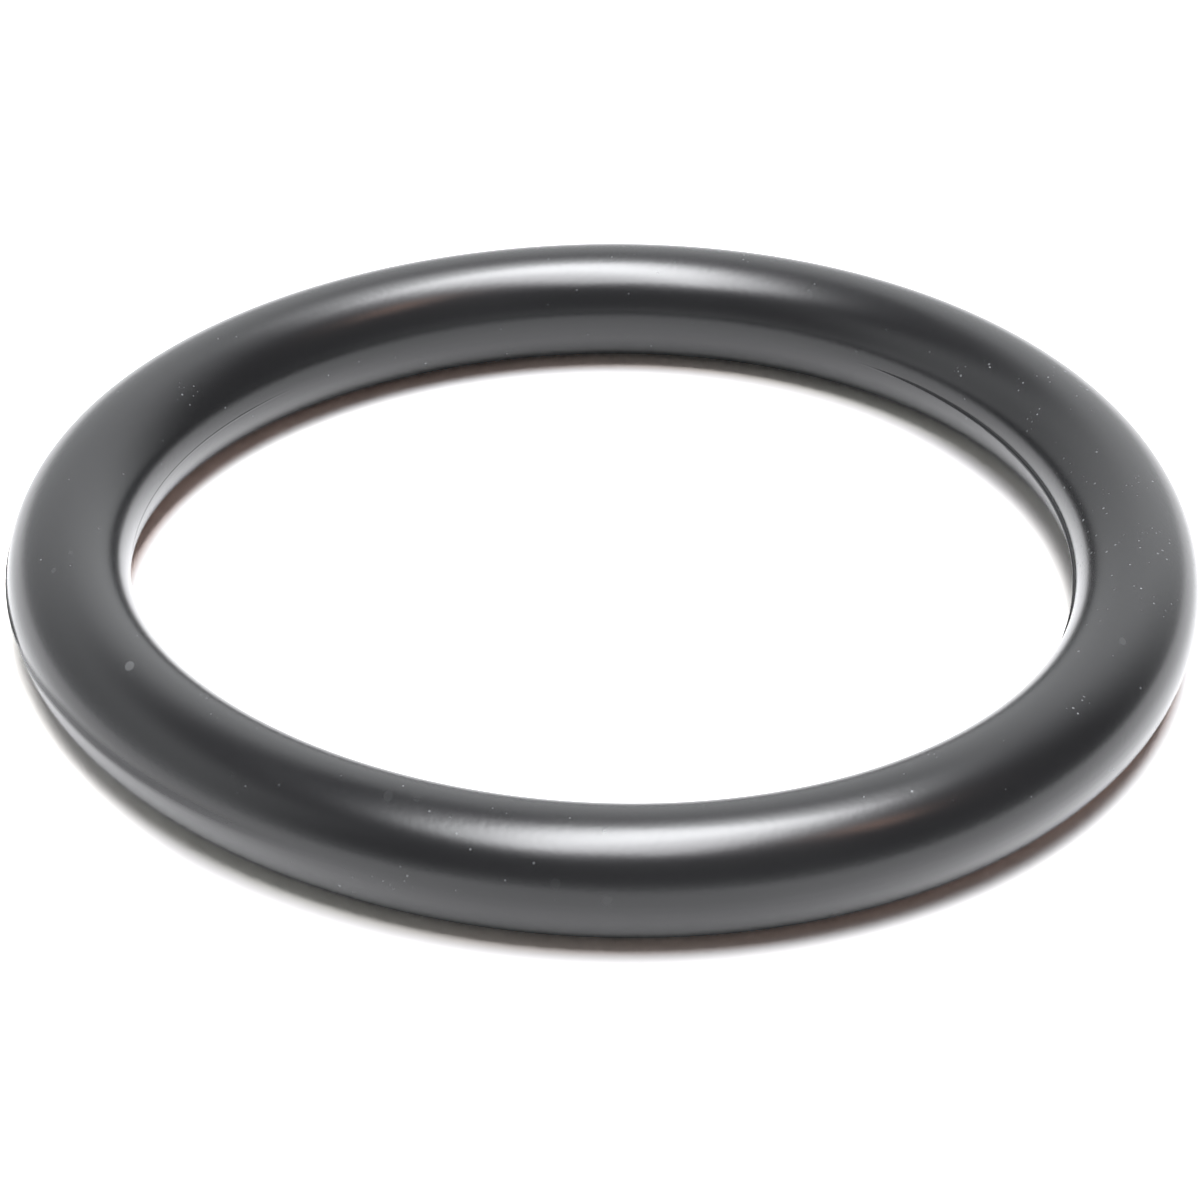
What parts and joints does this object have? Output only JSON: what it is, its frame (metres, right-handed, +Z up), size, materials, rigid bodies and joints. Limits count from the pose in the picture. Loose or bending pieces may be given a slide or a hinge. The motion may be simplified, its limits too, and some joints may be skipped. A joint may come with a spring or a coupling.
{
  "type": "fuel pump gasket",
  "caption": "Plain moulded rubber ring of round section that seals a fuel pump's flange to its tank or housing, with a fine parting ridge inside and outside.",
  "frame": {"origin": "the ring's centre, on the surface that it lies on", "axes": "+Z up, along the ring's axis; X and Y lie in the ring's plane, and no direction among them is special"},
  "size_m": [0.0684, 0.0684, 0.007],
  "materials": {
    "seal_ring": "smooth black moulded rubber with a soft sheen and a little dust"
  },
  "bodies": {
    "root": {"seal_ring": "seal_ring"}
  },
  "joints": []
}
